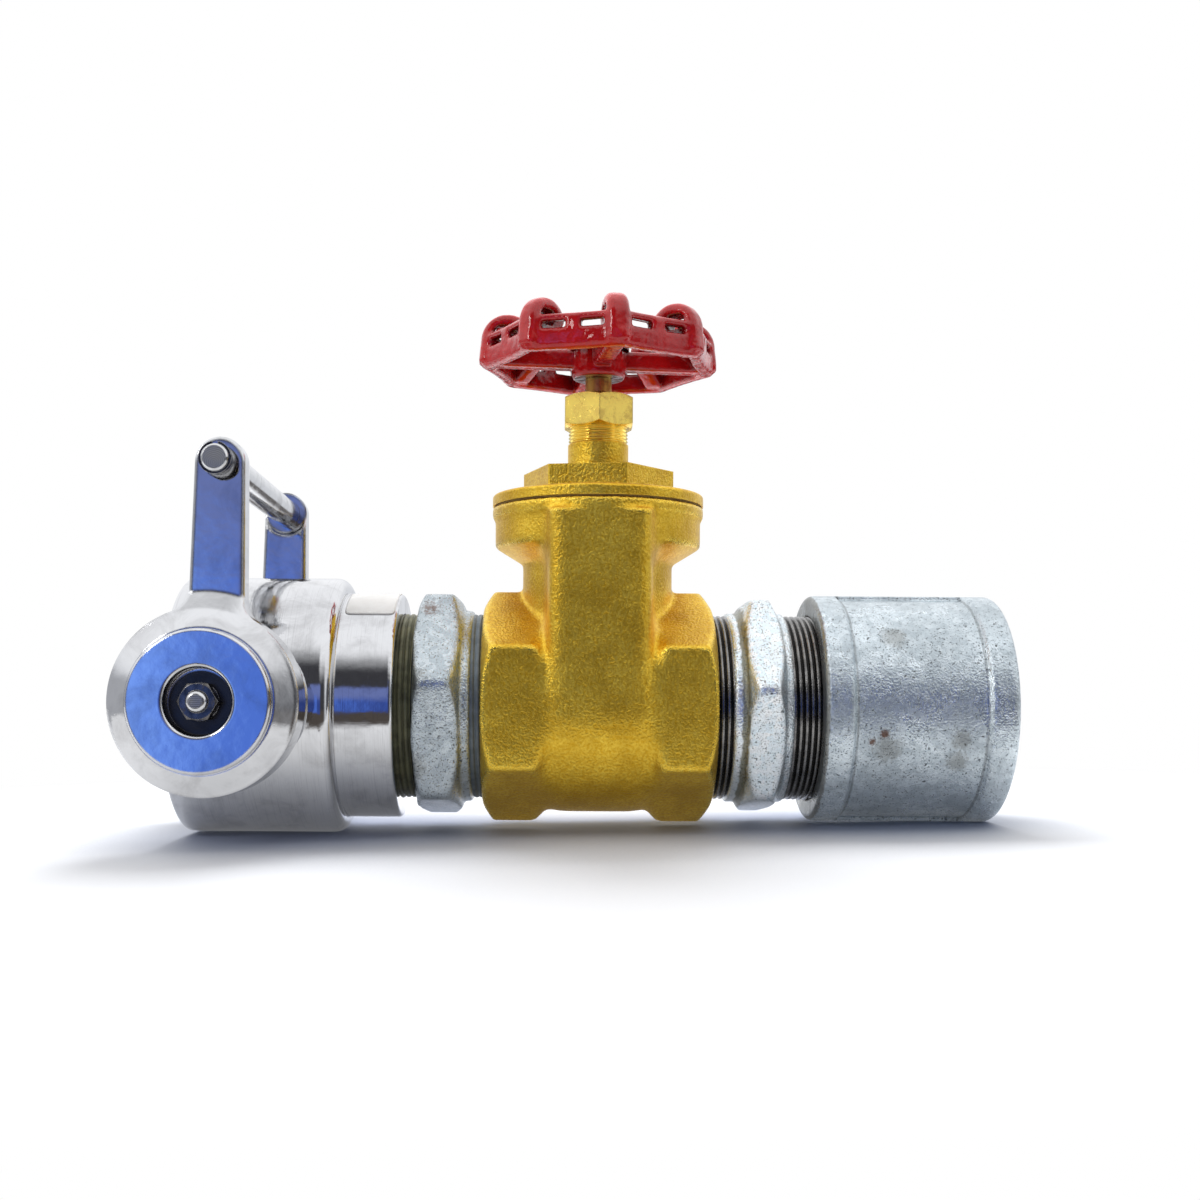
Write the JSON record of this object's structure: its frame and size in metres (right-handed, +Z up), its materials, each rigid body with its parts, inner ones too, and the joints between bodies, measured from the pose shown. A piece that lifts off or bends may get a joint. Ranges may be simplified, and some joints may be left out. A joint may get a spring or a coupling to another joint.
{
  "type": "fire hose adapter",
  "caption": "Hose coupling with a bow release handle, joined by hex nipples through a brass gate valve with a red finger-grip handwheel to a banded threaded pipe socket.",
  "frame": {"origin": "centre of the pipe socket's open end face", "axes": "+X out of the socket along the pipe axis, +Z up the valve stem, -Y to the front release arm"},
  "size_m": [0.3391, 0.156, 0.2106],
  "materials": {
    "polished_steel": "mirror-polished stainless steel",
    "bright_steel": "drawn stainless steel",
    "dark_steel": "plain steel, darkened",
    "galvanised_iron": "hot-dip galvanised malleable iron",
    "blasted_brass": "sand-blasted brass",
    "turned_brass": "turned brass",
    "red_enamel": "glossy red enamel on cast iron",
    "black_rubber": "moulded rubber",
    "fibre_gasket": "pressed fibre sheet"
  },
  "bodies": {
    "adapter": {"coupling_body": "polished_steel", "mouth_seal_ring": "black_rubber", "front_spring": "dark_steel", "rear_spring": "dark_steel", "front_spring_retainer": "dark_steel", "rear_spring_retainer": "dark_steel", "coupling_nipple": "galvanised_iron", "valve_body": "blasted_brass", "bonnet_gasket": "fibre_gasket", "bonnet": "blasted_brass", "thrust_bush": "turned_brass", "gland_packing": "black_rubber", "gland_follower": "turned_brass", "gland_nut": "turned_brass", "pipe_nipple": "galvanised_iron", "pipe_socket": "galvanised_iron"},
    "handle": {"handle_rod": "bright_steel", "front_rod_clip": "dark_steel", "rear_rod_clip": "dark_steel"},
    "front_arm": {"front_release_arm": "polished_steel"},
    "rear_arm": {"rear_release_arm": "polished_steel"},
    "front_latch": {"front_plunger": "bright_steel", "front_plunger_washer": "dark_steel", "front_plunger_nut": "dark_steel"},
    "rear_latch": {"rear_plunger": "bright_steel", "rear_plunger_washer": "dark_steel", "rear_plunger_nut": "dark_steel"},
    "wheel": {"stem": "turned_brass", "handwheel": "red_enamel", "wheel_washer": "dark_steel", "wheel_nut": "dark_steel"},
    "gate": {"gate_wedge": "turned_brass"}
  },
  "joints": [
    {"name": "handle_swing", "type": "hinge", "parent": "adapter", "child": "handle", "pos_m": [-0.3043, 0, 0], "axis": [0, 0.9997, -0.0262], "range_deg": [0, 42], "stiffness_Nm_per_rad": 2, "springref_deg": -34.38, "deforming": ["front_spring", "rear_spring"]},
    {"name": "front_arm_slide", "type": "slide", "parent": "handle", "child": "front_arm", "axis": [0, -0.9997, 0.0262], "range_m": [0, 0.006]},
    {"name": "rear_arm_slide", "type": "slide", "parent": "handle", "child": "rear_arm", "axis": [0, 0.9997, -0.0262], "range_m": [0, 0.006]},
    {"name": "front_plunger_slide", "type": "slide", "parent": "adapter", "child": "front_latch", "axis": [0, -0.9997, 0.0262], "range_m": [0, 0.006]},
    {"name": "rear_plunger_slide", "type": "slide", "parent": "adapter", "child": "rear_latch", "axis": [0, 0.9997, -0.0262], "range_m": [0, 0.006]},
    {"name": "wheel_turn", "type": "hinge", "parent": "adapter", "child": "wheel", "pos_m": [-0.1597, 0, 0.14], "axis": [0, 0, 1], "range_deg": [0, 5040]},
    {"name": "gate_lift", "type": "slide", "parent": "adapter", "child": "gate", "axis": [0, 0, 1], "range_m": [0, 0.0604]}
  ],
  "couplings": [
    {"joint": "front_arm_slide", "follows": "handle_swing", "m_per_rad": 0.0081851},
    {"joint": "rear_arm_slide", "follows": "handle_swing", "m_per_rad": 0.0081851},
    {"joint": "front_plunger_slide", "follows": "handle_swing", "m_per_rad": 0.0081851},
    {"joint": "rear_plunger_slide", "follows": "handle_swing", "m_per_rad": 0.0081851},
    {"joint": "gate_lift", "follows": "wheel_turn", "m_per_rad": 0.00068437}
  ]
}
